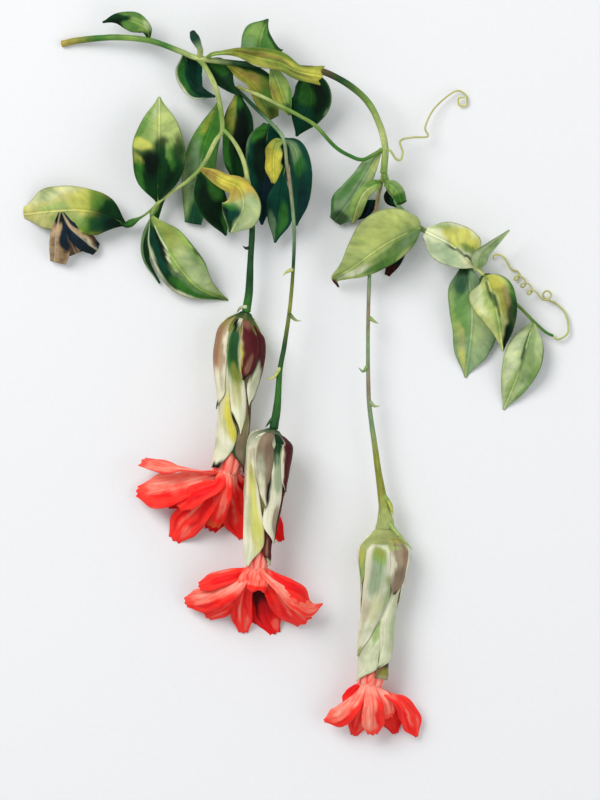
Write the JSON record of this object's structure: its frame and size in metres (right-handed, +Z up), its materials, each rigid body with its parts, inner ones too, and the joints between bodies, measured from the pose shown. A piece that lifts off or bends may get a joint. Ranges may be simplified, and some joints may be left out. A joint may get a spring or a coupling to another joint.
{
  "type": "mutisia clematis",
  "caption": "Cut flowering sprig of a climbing vine, lying flat: arching stem, leaflets, curling tendrils and hanging red flower heads with long bracted involucres.",
  "frame": {"origin": "centre of the sprig's outline, on the surface that it lies on", "axes": "+Y along the sprig from the flower heads to the stem's top, +X to the right as it is looked down on, +Z up from the surface"},
  "size_m": [0.2294, 0.3042, 0.0321],
  "materials": {
    "stem_green": "satin",
    "tendril_straw": "satin",
    "leaf_green": "soft satin",
    "leaf_dark": "soft satin",
    "leaf_teal": "soft satin",
    "leaf_pale": "soft satin",
    "leaf_yellow": "soft satin",
    "involucre_cream": "matt with painted green and maroon streaks",
    "petal_red": "soft satin",
    "disc_orange": "soft satin"
  },
  "bodies": {
    "root": {"main_stem": "stem_green", "left_branch": "stem_green", "peduncle_1": "stem_green", "peduncle_2": "stem_green", "peduncle_3": "stem_green", "slender_stem": "stem_green", "right_rachis": "stem_green", "young_shoot": "leaf_dark", "tendril_1": "tendril_straw", "tendril_2": "tendril_straw", "leaf_cut_end": "leaf_dark", "leaf_hooked": "leaf_teal", "leaf_yellow": "leaf_yellow", "leaf_dark_band": "leaf_dark", "leaf_olive": "leaf_green", "leaf_olive_small": "leaf_pale", "leaf_top": "leaf_green", "leaf_round": "leaf_teal", "leaf_upright": "leaf_green", "leaf_low": "leaf_pale", "leaf_low_back": "leaf_green", "leaf_left": "leaf_yellow", "leaf_grey": "leaf_green", "leaf_centre_dark": "leaf_dark", "leaf_rolled_body": "leaf_dark", "leaf_rolled_flap": "leaf_yellow", "leaf_teal": "leaf_teal", "leaf_sunlit": "leaf_yellow", "leaf_teal_right": "leaf_teal", "leaf_teal_low": "leaf_teal", "leaf_fork": "leaf_green", "leaf_arch_left": "leaf_pale", "leaf_arch_right": "leaf_green", "leaf_shade_left": "leaf_teal", "leaf_shade_right": "leaf_teal", "leaf_broad": "leaf_pale", "leaf_hidden": "leaf_dark", "leaf_pale": "leaf_pale", "leaf_edge_on": "leaf_pale", "leaf_hanging": "leaf_green", "leaf_folded": "leaf_yellow", "leaf_last": "leaf_green", "involucre_1": "involucre_cream", "rays_1": "petal_red", "disc_1": "disc_orange", "involucre_2": "involucre_cream", "rays_2": "petal_red", "disc_2": "disc_orange", "involucre_3": "involucre_cream", "rays_3": "petal_red", "disc_3": "disc_orange"}
  },
  "joints": []
}
